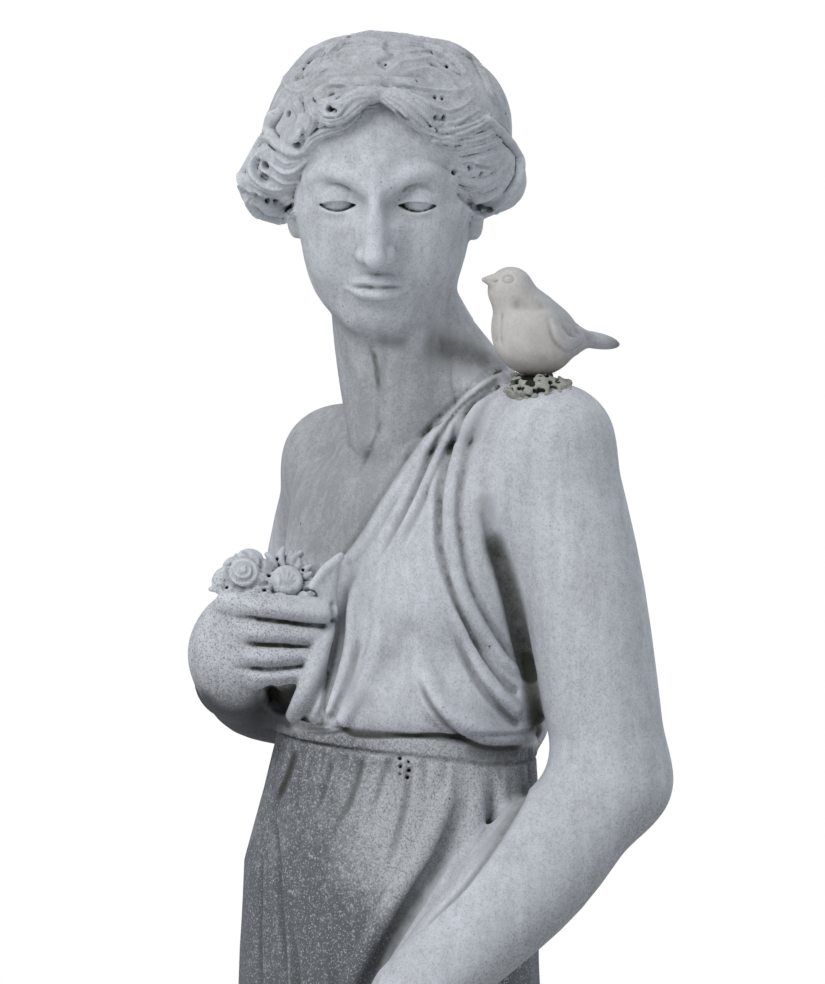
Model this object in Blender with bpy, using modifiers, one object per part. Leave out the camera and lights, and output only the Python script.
"""Garden statuette of a maiden in a one-shouldered dress, with roses and a songbird.

The maiden, her roses and the low round base are one casting. The bird is a second
casting, and a rough bed of mortar holds it to her left shoulder.

Frame: origin under the middle of the base, +Z up. She faces -Y, so her left is +X.
Places and sizes below are in millimetres of the finished statuette, and every
shape passes through MM on its way into a mesh.
"""

import math
import random

import bmesh
import bpy
from mathutils import Matrix, Vector

MM = 0.001

# Driving sizes
BASE_RADIUS = 123.0
BASE_HEIGHT = 34.0
BASE_EDGE = 5.0
FACE_HEIGHT = 107.0
HEAD_WIDTH = 72.0
HEAD_DEPTH = 92.0
FINGER = 4.7
BED_GAP = 0.35

# How fine the fused clay is, and how many of its triangles are kept
CLAY_GRAIN = 2.2
FIGURE_KEPT = 0.031
BIRD_GRAIN = 1.0
BIRD_KEPT = 0.075
BED_GRAIN = 1.4
BED_KEPT = 0.05

# The pose, left and right being hers
NECK_ROOT = Vector((0.3, 6, 684))
NECK_TOP = Vector((0.3, -6, 748))
SKULL = Vector((1, -9, 784))
HEAD_TURN = (
    Matrix.Rotation(math.radians(44), 4, "Z")
    @ Matrix.Rotation(math.radians(14), 4, "X")
    @ Matrix.Rotation(math.radians(0.5), 4, "Y")
)
SHOULDER_L = Vector((60, 24, 683))
ELBOW_L = Vector((82, 34, 558))
WRIST_L = Vector((58, -46, 482))
HAND_L = Vector((46, -66, 446))
SHOULDER_R = Vector((-58, 19, 671))
ELBOW_R = Vector((-102, 54, 566))
WRIST_R = Vector((-47, -43, 590.5))
KNUCKLES_R = Vector((-31, -62, 607))
FINGER_WAY = Vector((0.70, 0.71, 0.02))
BIRD_BODY = Vector((55, 20, 725))
BIRD_HEADING = math.radians(-107)

# The body under the dress: height, centre x, centre y, half width, half depth
SKIRT = (
    (BASE_HEIGHT - 5, 0, -2, 80, 71),
    (80, 0, -2, 75, 67),
    (160, 0, -3, 68, 61),
    (260, -1, -4, 63, 57),
    (360, -2, -4, 62, 54),
    (430, -3.4, -3.6, 62.6, 53),
    (485, -3.6, -3, 62.2, 53.2),
    (520, -3, -2, 61.4, 53),
    (548, -1.4, 1.4, 56.6, 49.6),
    (577, 0, 4, 52, 46),
)
TORSO = (
    (552, 0, 4, 50, 44),
    (580, 0, 5, 52, 43),
    (610, 0, 7, 54, 40),
    (636, 0, 11, 56, 37),
    (658, 0, 15, 55, 32),
    (678, 0, 17, 45, 25),
    (694, 0, 16, 27, 19),
)
BELT_HEIGHT = 571.9

STONE = (0.42, 0.44, 0.47)
BIRD_STONE = (0.50, 0.48, 0.45)
MORTAR = (0.16, 0.16, 0.15)


def make_material(name, colour, roughness):
    material = bpy.data.materials.new(name)
    material.use_nodes = True
    shader = material.node_tree.nodes["Principled BSDF"]
    shader.inputs["Base Color"].default_value = (*colour, 1)
    shader.inputs["Roughness"].default_value = roughness
    shader.inputs["Metallic"].default_value = 0.0
    return material


def make_object(name, mesh, collection, material):
    made = bpy.data.objects.new(name, mesh)
    collection.objects.link(made)
    mesh.materials.append(material)
    return made


# Lumps of clay: closed shapes that a later remesh fuses into one body


def add_piece(clay, piece):
    """Move one finished lump into the clay."""
    mesh = bpy.data.meshes.new("lump")
    piece.to_mesh(mesh)
    piece.free()
    clay.from_mesh(mesh)
    bpy.data.meshes.remove(mesh)


def add_ball(clay, centre, radii, turn=Matrix.Identity(4)):
    """An ellipsoid of the given half sizes, turned about its own centre."""
    place = Matrix.Translation(Vector(centre) * MM) @ turn
    sizes = Matrix.Diagonal((radii[0] * MM, radii[1] * MM, radii[2] * MM, 1))
    piece = bmesh.new()
    bmesh.ops.create_uvsphere(
        piece, u_segments=20, v_segments=12, radius=1, matrix=place @ sizes
    )
    add_piece(clay, piece)


def add_limb(clay, points, radii):
    """A smooth round tube through the points, as thick at each as its radius."""
    curve = bpy.data.curves.new("limb", "CURVE")
    curve.dimensions = "3D"
    curve.bevel_depth = MM
    curve.bevel_resolution = 4
    curve.resolution_u = 6
    curve.use_fill_caps = True
    spline = curve.splines.new("BEZIER")
    spline.bezier_points.add(len(points) - 1)
    for handle, point, radius in zip(spline.bezier_points, points, radii):
        handle.co = Vector(point) * MM
        handle.radius = radius
        handle.handle_left_type = handle.handle_right_type = "AUTO"
    guide = bpy.data.objects.new("limb", curve)
    bpy.context.scene.collection.objects.link(guide)
    graph = bpy.context.evaluated_depsgraph_get()
    mesh = bpy.data.meshes.new_from_object(guide.evaluated_get(graph))
    piece = bmesh.new()
    piece.from_mesh(mesh)
    bmesh.ops.remove_doubles(piece, verts=piece.verts, dist=1e-6)
    add_piece(clay, piece)
    bpy.data.objects.remove(guide)
    bpy.data.curves.remove(curve)
    bpy.data.meshes.remove(mesh)
    for point, radius in ((points[0], radii[0]), (points[-1], radii[-1])):
        add_ball(clay, point, (radius, radius, radius))


def add_fold(clay, points, thickness):
    """A ridge of cloth that fades out at both of its ends."""
    last = len(points) - 1
    fade = [
        thickness * (0.45 + 0.55 * math.sin(math.pi * i / last)) for i in range(last + 1)
    ]
    add_limb(clay, points, fade)


def section_at(sections, height):
    """The centre and half sizes of a stack of sections at one height."""
    for low, high in zip(sections, sections[1:]):
        if height <= high[0] or high is sections[-1]:
            part = (height - low[0]) / (high[0] - low[0])
            part = min(max(part, 0), 1)
            return [a + (b - a) * part for a, b in zip(low[1:], high[1:])]


def on_body(sections, angle, height, lift=0.0):
    """A point on the surface, at degrees round from her front toward her left."""
    x, y, wide, deep = section_at(sections, height)
    a = math.radians(angle)
    return Vector(
        (x + (wide + lift) * math.sin(a), y - (deep + lift) * math.cos(a), height)
    )


def add_loft(clay, sections, ripple, rows=40, around=96):
    """A closed stack of ovals, pushed in and out by ripple(angle, height)."""
    bottom, top = sections[0][0], sections[-1][0]
    rings = []
    for row in range(rows + 1):
        height = bottom + (top - bottom) * row / rows
        ring = []
        for step in range(around):
            angle = 360 * step / around
            place = on_body(sections, angle, height, ripple(angle, height))
            ring.append(clay.verts.new(place * MM))
        rings.append(ring)
    for low, high in zip(rings, rings[1:]):
        for i in range(around):
            j = (i + 1) % around
            clay.faces.new((low[i], low[j], high[j], high[i]))
    clay.faces.new(reversed(rings[0]))
    clay.faces.new(rings[-1])


# The dress


def skirt_ripple(angle, height):
    """Folds that hang from the belt and open toward the hem."""
    hang = (SKIRT[-1][0] - height) / (SKIRT[-1][0] - SKIRT[0][0])
    swing = angle + 26 * hang * math.sin(math.radians(angle - 30))
    broad = math.sin(math.radians(11 * swing))
    narrow = math.sin(math.radians(19 * swing + 40))
    over_knee = math.exp(-(((height - 290) / 130) ** 2)) * math.exp(
        -(((angle - 30 + 180) % 360 - 180) / 38) ** 2
    )
    gathers = 1.0 * math.exp(-((hang / 0.06) ** 2))
    return (1 - 0.8 * over_knee) * (
        broad * (1.2 + 4.2 * hang) + narrow * (0.9 + 1.3 * hang + gathers)
    )


def add_skirt(clay):
    add_loft(clay, SKIRT, skirt_ripple)
    # The free left leg pushes the cloth forward at the thigh and the knee
    add_limb(
        clay,
        ((24, -6, 470), (29, -22, 360), (31, -33, 285), (27, -24, 180), (26, -22, 70)),
        (38, 37, 31, 25, 24),
    )
    # The toes of both feet, just past the hem
    for x, y, turn in ((30, -70, 12), (-26, -66, -8)):
        add_ball(
            clay,
            (x, y, BASE_HEIGHT + 5),
            (15, 24, 10),
            Matrix.Rotation(math.radians(turn), 4, "Z"),
        )
    # Cloth drawn up from the left hip to the hand that holds it
    for n in range(4):
        start = on_body(SKIRT, 76 - 17 * n, 550 - 4 * n, -1)
        middle = on_body(SKIRT, 50 - 14 * n, 496 - 4 * n, 0)
        end = HAND_L + Vector((-14 - 5 * n, 12 + 2 * n, -4 - 12 * n))
        add_fold(clay, (start, middle, end), 3.6)
    for n in range(5):
        start = HAND_L + Vector((-10 - 7 * n, 11 + 2 * n, -20))
        low = on_body(SKIRT, 44 - 20 * n, 215, 2)
        foot = on_body(SKIRT, 50 - 24 * n, 60, 1)
        add_fold(clay, (start, start.lerp(low, 0.5) + Vector((0, -2, 0)), low, foot), 6.5)


def blouse_ripple(angle, height):
    """The blouse hangs over the belt in soft scallops."""
    hang = math.exp(-(((height - 590) / 15) ** 2))
    return hang * (5.5 + 1.8 * math.sin(math.radians(7 * angle + 20)))


def add_bodice(clay):
    add_loft(clay, TORSO, blouse_ripple, rows=30, around=72)
    for side in (-1, 1):
        add_ball(clay, (25 * side, -11, 624), (24, 20, 25))
        add_ball(clay, (36 * side, 8, 638), (21, 26, 34))
    # The rolled neckline, from the left shoulder across to under the right arm
    for n in range(3):
        drop = 7 * n
        way = (
            SHOULDER_L + Vector((-20 + 4 * n, -9 - 3 * n, 20 - 2 * n)),
            on_body(TORSO, 34, 672 - drop, 2),
            on_body(TORSO, 12, 652 - drop, 4),
            on_body(TORSO, -14, 635 - drop, 5),
            on_body(TORSO, -52, 622 - drop, 4),
        )
        add_fold(clay, way, 3.4)
    # Its other run, down across the back
    for n in range(2):
        drop = 8 * n
        way = (
            SHOULDER_L + Vector((-18 + 5 * n, 10, 19)),
            on_body(TORSO, 150, 676 - drop, 2),
            on_body(TORSO, 190, 648 - drop, 3),
            on_body(TORSO, 250, 626 - drop, 3),
        )
        add_fold(clay, way, 3.2)
    # The rolled edge of the armhole, sagging beside the left arm
    for n in range(2):
        way = (
            SHOULDER_L + Vector((-8 - 5 * n, -18, 14)),
            on_body(TORSO, 52 - 9 * n, 652, 5),
            on_body(TORSO, 60 - 9 * n, 612, 7),
            on_body(TORSO, 84 - 5 * n, 586, 7),
        )
        add_fold(clay, way, 4.0)
    # Folds that fall from the breasts into the overhang
    falls = ((-44, 4), (-22, -6), (-2, -8), (18, 8), (38, 14), (120, 6), (160, 4), (205, -5))
    for angle, lean in falls:
        way = (
            on_body(TORSO, angle, 618, 1),
            on_body(TORSO, angle + lean * 0.4, 598, 2.5),
            on_body(TORSO, angle + lean, 579, 4),
        )
        add_fold(clay, way, 4.4)


def add_belt(clay):
    ring = [on_body(SKIRT, angle, BELT_HEIGHT, 1.5) for angle in range(0, 361, 20)]
    for lift in (-1.8, 1.8):
        shifted = [point + Vector((0, 0, lift)) for point in ring]
        add_limb(clay, shifted, [2.2] * len(shifted))


# Arms, hands and roses


def add_arms(clay):
    add_limb(
        clay,
        (SHOULDER_L, SHOULDER_L.lerp(ELBOW_L, 0.45) + Vector((2, 0, 0)), ELBOW_L),
        (22, 22.8, 20.6),
    )
    add_limb(
        clay,
        (ELBOW_L, ELBOW_L.lerp(WRIST_L, 0.4), ELBOW_L.lerp(WRIST_L, 0.75), WRIST_L),
        (19.5, 21.5, 18, 14.6),
    )
    add_limb(
        clay,
        (SHOULDER_R, SHOULDER_R.lerp(ELBOW_R, 0.5) + Vector((-4, -2, 0)), ELBOW_R),
        (20.5, 22.5, 20),
    )
    add_limb(
        clay,
        (ELBOW_R, ELBOW_R.lerp(WRIST_R, 0.4), ELBOW_R.lerp(WRIST_R, 0.78), WRIST_R),
        (19.5, 20, 20, 14.5),
    )
    # Shoulder girdle: slopes of the neck and the fronts of the armpits
    add_limb(clay, (NECK_ROOT, NECK_TOP), (25, 24))
    for shoulder in (SHOULDER_L, SHOULDER_R):
        side = math.copysign(1, shoulder.x)
        nape = NECK_ROOT.lerp(NECK_TOP, 0.62) + Vector((5 * side, 12, 0))
        slope = NECK_ROOT.lerp(shoulder, 0.55) + Vector((0, 6, 9.5))
        add_limb(clay, (nape, slope, shoulder), (16, 17, 18))
        add_limb(clay, (shoulder, Vector((shoulder.x * 0.45, -2, 642))), (20, 19))
        throat = Vector((6 * side, -12, 676))
        collar = shoulder + Vector((-10 * side, -6, 16))
        add_limb(clay, (throat, throat.lerp(collar, 0.5), collar), (4, 4, 4))


def add_right_hand(clay):
    """The fist round the stems: four fingers, one above the other."""
    add_limb(clay, (WRIST_R, KNUCKLES_R + Vector((0, 4, -4))), (14.5, 15.5))
    add_ball(clay, KNUCKLES_R + Vector((1.5, 4, -5)), (16.6, 16.6, 24))
    along = FINGER_WAY.normalized()
    heights = (14.0, 4.8, -4.2, -12.0)
    lengths = (45, 41, 38, 35)
    for height, length in zip(heights, lengths):
        root = KNUCKLES_R + Vector((5, -5, height)) - along * 3
        add_limb(
            clay,
            (root, root + along * length * 0.5 + Vector((1.5, -2, 0)), root + along * length),
            (FINGER + 0.6, FINGER, FINGER - 0.6),
        )
    add_ball(clay, KNUCKLES_R + along * 22 + Vector((-4, 8, 2)), (14, 12, 17))


def add_left_hand(clay):
    """The hand that gathers the skirt over the thigh."""
    add_limb(clay, (WRIST_L, HAND_L), (13.5, 15))
    for n in range(4):
        root = HAND_L + Vector((8 - 8 * n, -6 + n, -2))
        add_limb(
            clay,
            (root, root + Vector((-3, -6, -18)), root + Vector((-6, 4, -33))),
            (FINGER + 0.8, FINGER + 0.2, FINGER - 0.4),
        )
    thumb = HAND_L + Vector((-14, 2, 10))
    add_limb(clay, (thumb, thumb + Vector((-12, 4, -16))), (6, 5))


def add_rose(clay, centre, radius, facing):
    """A ball of petals: a spiral of small lumps round a cup."""
    turn = Vector((0, 0, 1)).rotation_difference(Vector(facing)).to_matrix().to_4x4()
    add_ball(clay, centre, (radius, radius, radius * 0.8), turn)
    for n in range(7):
        a = n * 2.4
        out = radius * (0.25 + 0.1 * n)
        petal = turn @ Vector((out * math.cos(a), out * math.sin(a), radius * 0.6))
        add_ball(clay, Vector(centre) + petal, (radius * 0.34,) * 3)


def add_roses(clay):
    heart = KNUCKLES_R + FINGER_WAY.normalized() * 14 + Vector((-1, 7, 22))
    add_rose(clay, heart + Vector((-6, -9, 5)), 10, (0.6, -0.7, 0.6))
    add_rose(clay, heart + Vector((9, 5, 4)), 9, (0.7, -0.4, 0.8))
    add_rose(clay, heart + Vector((-5, 11, 6)), 8, (-0.4, 0.2, 1))
    add_ball(clay, heart, (17, 14, 9), Matrix.Rotation(math.radians(45), 4, "Z"))
    for a in (150, 215, 300):
        way = Vector((math.cos(math.radians(a)), math.sin(math.radians(a)), 0))
        add_limb(clay, (heart, heart + way * 17 + Vector((0, 0, -2))), (5, 1.6))


# Head, face and hair, in a frame of their own: face toward -Y, origin mid-skull


def head_point(x, y, z):
    return SKULL + HEAD_TURN.to_3x3() @ Vector((x, y, z))


def add_head(clay):
    half = HEAD_WIDTH / 2
    down = FACE_HEIGHT / 2
    add_ball(clay, head_point(0, 4, 8), (half, HEAD_DEPTH / 2 - 2, down - 10), HEAD_TURN)
    # Forehead, cheeks and jaw, narrowing to a round chin
    jaw = HEAD_TURN @ Matrix.Rotation(math.radians(-10), 4, "X")
    add_ball(clay, head_point(0, -11, -12), (half * 0.86, 29, 34), jaw)
    add_ball(clay, head_point(0, -21, -34), (half * 0.55, 19, 20), jaw)
    add_ball(clay, head_point(0, -30, -46), (11, 10, 9), HEAD_TURN)
    # Nose, brows, lids and lips of a plain classical mask
    add_limb(
        clay,
        (head_point(0, -39, 10), head_point(0, -44, -4), head_point(0, -49, -16)),
        (3.4, 3.4, 4.2),
    )
    for side in (-1, 1):
        add_ball(clay, head_point(4.4 * side, -43, -17), (3.2, 4, 3.2), HEAD_TURN)
        brow = [
            head_point(x * side, y, z) for x, y, z in ((5, -39, 10), (15, -36, 13), (25, -28, 9))
        ]
        add_limb(clay, brow, (2.2, 2.6, 2.0))
        add_ball(clay, head_point(14 * side, -35.5, 2), (7.5, 4.5, 4), HEAD_TURN)
        add_ball(clay, head_point((half - 2) * side, 4, -8), (3.5, 8, 13), HEAD_TURN)
    add_ball(clay, head_point(0, -37.5, -29), (9, 5, 2.4), HEAD_TURN)
    add_ball(clay, head_point(0, -36.5, -34), (8, 5, 2.6), HEAD_TURN)


def add_hair(clay):
    """Wavy locks from a centre parting, rolled back to puffs and a low knot."""
    crown = Vector((0, 9, 17))
    size = Vector((HEAD_WIDTH / 2 + 8, HEAD_DEPTH / 2 + 2, 33))
    add_ball(clay, head_point(*crown), (size.x, size.y, size.z), HEAD_TURN)
    add_limb(clay, (head_point(-17, 9, 36), head_point(18, 9, 36)), (13.4, 13.4))
    add_ball(clay, head_point(28, 10, 14), (19, 32, 27), HEAD_TURN)
    add_ball(clay, head_point(-26, 10, 12), (19, 30, 26), HEAD_TURN)
    locks = 7
    for side in (-1, 1):
        for n in range(locks):
            lean = n / (locks - 1)
            way = []
            for step in range(7):
                t = step / 6
                around = math.radians(8 + 92 * t)
                back = math.radians(-62 + 100 * lean * (1 - 0.35 * t) + 22 * t)
                wave = 1 + 0.045 * math.sin(4.2 * math.pi * t + 2 * n)
                point = Vector(
                    (
                        side * size.x * math.sin(around) * math.cos(back * 0.55),
                        size.y * math.sin(back),
                        size.z * math.cos(around) * math.cos(back * 0.8),
                    )
                )
                way.append(head_point(*(crown + point * wave)))
            add_limb(clay, way, [4.2] * len(way))
        # The rolled puff over the ear, fuller and lower on her right
        out, drop = (1, 0) if side > 0 else (4, 3)
        for n in range(3):
            way = [
                head_point(side * (32 + 3 * n + out), -14 + 10 * n, 12 - 2 * n),
                head_point(side * (43 + n + out), -6 + 8 * n, 2 - drop),
                head_point(side * (42 + out), 4 + 7 * n, -9 - drop),
                head_point(side * (32 + out), 14 + 7 * n, -13 - drop),
            ]
            add_limb(clay, way, (6, 8.4, 8.4, 7))
    # The knot at the nape
    add_ball(clay, head_point(0, 48, -10), (22, 17, 19), HEAD_TURN)
    for n in range(3):
        ring = [
            head_point(
                (19 - 4 * n) * math.cos(a), 52 + 5 * n, -10 + (17 - 4 * n) * math.sin(a)
            )
            for a in (math.tau * i / 8 for i in range(9))
        ]
        add_limb(clay, ring, [4.0] * len(ring))
    # A narrow band across the crown
    band = [
        head_point(
            *(
                crown
                + Vector(
                    (
                        (size.x + 1) * math.sin(math.radians(a)),
                        -10 * math.cos(math.radians(a)),
                        (size.z + 2) * math.cos(math.radians(a)),
                    )
                )
            )
        )
        for a in range(-80, 81, 20)
    ]
    add_limb(clay, band, [2.6] * len(band))


# The bird, in a frame of its own: beak toward +X, origin mid-body


def bird_point(x, y, z):
    return BIRD_BODY + Matrix.Rotation(BIRD_HEADING, 3, "Z") @ Vector((x, y, z))


def add_bird(clay):
    turn = Matrix.Rotation(BIRD_HEADING, 4, "Z")
    lean = turn @ Matrix.Rotation(math.radians(-16), 4, "Y")
    add_ball(clay, bird_point(0.5, 0, -2.4), (15.9, 14, 13.9), turn)
    add_ball(clay, bird_point(5.2, 0, 4), (12.2, 12.4, 13.2), turn)
    add_ball(clay, bird_point(11, 0, 16.2), (8.8, 8.6, 8.8), turn)
    back = (bird_point(3, 0, 8), bird_point(-6.8, 0, 2), bird_point(-12, 0, -1))
    add_limb(clay, back, (7.2, 7.2, 5.6))
    add_limb(clay, (bird_point(16, 0, 19), bird_point(22.3, 0, 20.1)), (3.4, 1.1))
    for side in (-1, 1):
        add_ball(clay, bird_point(-3, 9.5 * side, 0), (13, 5, 9), lean)
    add_limb(clay, (bird_point(-14, 0, -3), bird_point(-31.5, 0, -1.6)), (5.6, 2.6))


def add_bedding(clay):
    """Crumbs of mortar pressed round the bird's underside."""
    crumbs = random.Random(7)
    foot = BIRD_BODY + Vector((0, 0, -15))
    add_ball(clay, foot + Vector((0, 0, -2)), (12, 11, 4.5))
    for n in range(18):
        a = math.tau * n / 18
        out = 8 + 4 * crumbs.random()
        fall = -2.4 - 0.35 * (out - 8) + crumbs.random()
        place = foot + Vector((out * math.cos(a), out * math.sin(a), fall))
        size = 2.4 + 1.2 * crumbs.random()
        add_ball(clay, place, (size, size, size * 0.8))


# Fusing the clay into single solids


def fuse(name, clay, collection, material, grain, kept, smoothing):
    """One object from all the lumps: fused, smoothed, then thinned."""
    mesh = bpy.data.meshes.new(name)
    bmesh.ops.recalc_face_normals(clay, faces=clay.faces)
    clay.to_mesh(mesh)
    clay.free()
    made = make_object(name, mesh, collection, material)
    remesh = made.modifiers.new("Fuse", "REMESH")
    remesh.mode = "VOXEL"
    remesh.voxel_size = grain * MM
    smooth = made.modifiers.new("Soften", "SMOOTH")
    smooth.factor = 0.5
    smooth.iterations = smoothing
    thin = made.modifiers.new("Thin", "DECIMATE")
    thin.ratio = kept
    return made


def add_boolean(target, other, operation):
    boolean = target.modifiers.new(other.name, "BOOLEAN")
    boolean.operation = operation
    boolean.object = other


def make_base(collection, material):
    """The low round base: a turned profile with a rounded upper edge."""
    profile = [(0.0, BASE_HEIGHT)]
    for step in range(5):
        a = math.radians(90 - 90 * step / 4)
        profile.append(
            (
                BASE_RADIUS - BASE_EDGE + BASE_EDGE * math.cos(a),
                BASE_HEIGHT - BASE_EDGE + BASE_EDGE * math.sin(a),
            )
        )
    profile += [(BASE_RADIUS, 1.5), (BASE_RADIUS - 1.5, 0.0), (0.0, 0.0)]
    mesh = bpy.data.meshes.new("base")
    points = [(x * MM, 0, z * MM) for x, z in profile]
    mesh.from_pydata(points, [(i, i + 1) for i in range(len(points) - 1)], [])
    base = make_object("base", mesh, collection, material)
    screw = base.modifiers.new("Turn", "SCREW")
    screw.steps = screw.render_steps = 48
    screw.use_merge_vertices = True
    screw.merge_threshold = 1e-5
    return base


def make_swollen_copy(source, collection, swelling):
    """A cutter: the source's finished shape, grown by a small gap."""
    graph = bpy.context.evaluated_depsgraph_get()
    mesh = bpy.data.meshes.new_from_object(source.evaluated_get(graph))
    mesh.materials.clear()
    copy = bpy.data.objects.new(source.name + "_clearance", mesh)
    collection.objects.link(copy)
    grow = copy.modifiers.new("Grow", "DISPLACE")
    grow.strength = swelling * MM
    grow.mid_level = 0.0
    return copy


def main():
    for old in list(bpy.data.objects):
        bpy.data.objects.remove(old)
    scene = bpy.context.scene.collection
    parts = bpy.data.collections.new("garden_statuette")
    helpers = bpy.data.collections.new("helpers")
    scene.children.link(parts)
    scene.children.link(helpers)
    stone = make_material("cast_stone_resin", STONE, 0.85)
    bird_stone = make_material("bird_resin", BIRD_STONE, 0.85)
    mortar = make_material("mortar", MORTAR, 0.95)

    clay = bmesh.new()
    for add in (
        add_skirt,
        add_bodice,
        add_belt,
        add_arms,
        add_right_hand,
        add_left_hand,
        add_roses,
        add_head,
        add_hair,
    ):
        add(clay)
    figure = fuse("figure", clay, parts, stone, CLAY_GRAIN, FIGURE_KEPT, 3)
    base = make_base(helpers, stone)
    add_boolean(figure, base, "UNION")

    clay = bmesh.new()
    add_bird(clay)
    bird = fuse("bird", clay, parts, bird_stone, BIRD_GRAIN, BIRD_KEPT, 2)

    clay = bmesh.new()
    add_bedding(clay)
    bed = fuse("bird_bedding", clay, parts, mortar, BED_GRAIN, BED_KEPT, 0)
    bpy.context.view_layer.update()
    for neighbour in (figure, bird):
        add_boolean(bed, make_swollen_copy(neighbour, helpers, BED_GAP), "DIFFERENCE")

    for helper in helpers.objects:
        helper.hide_render = True
        helper.display_type = "WIRE"


main()
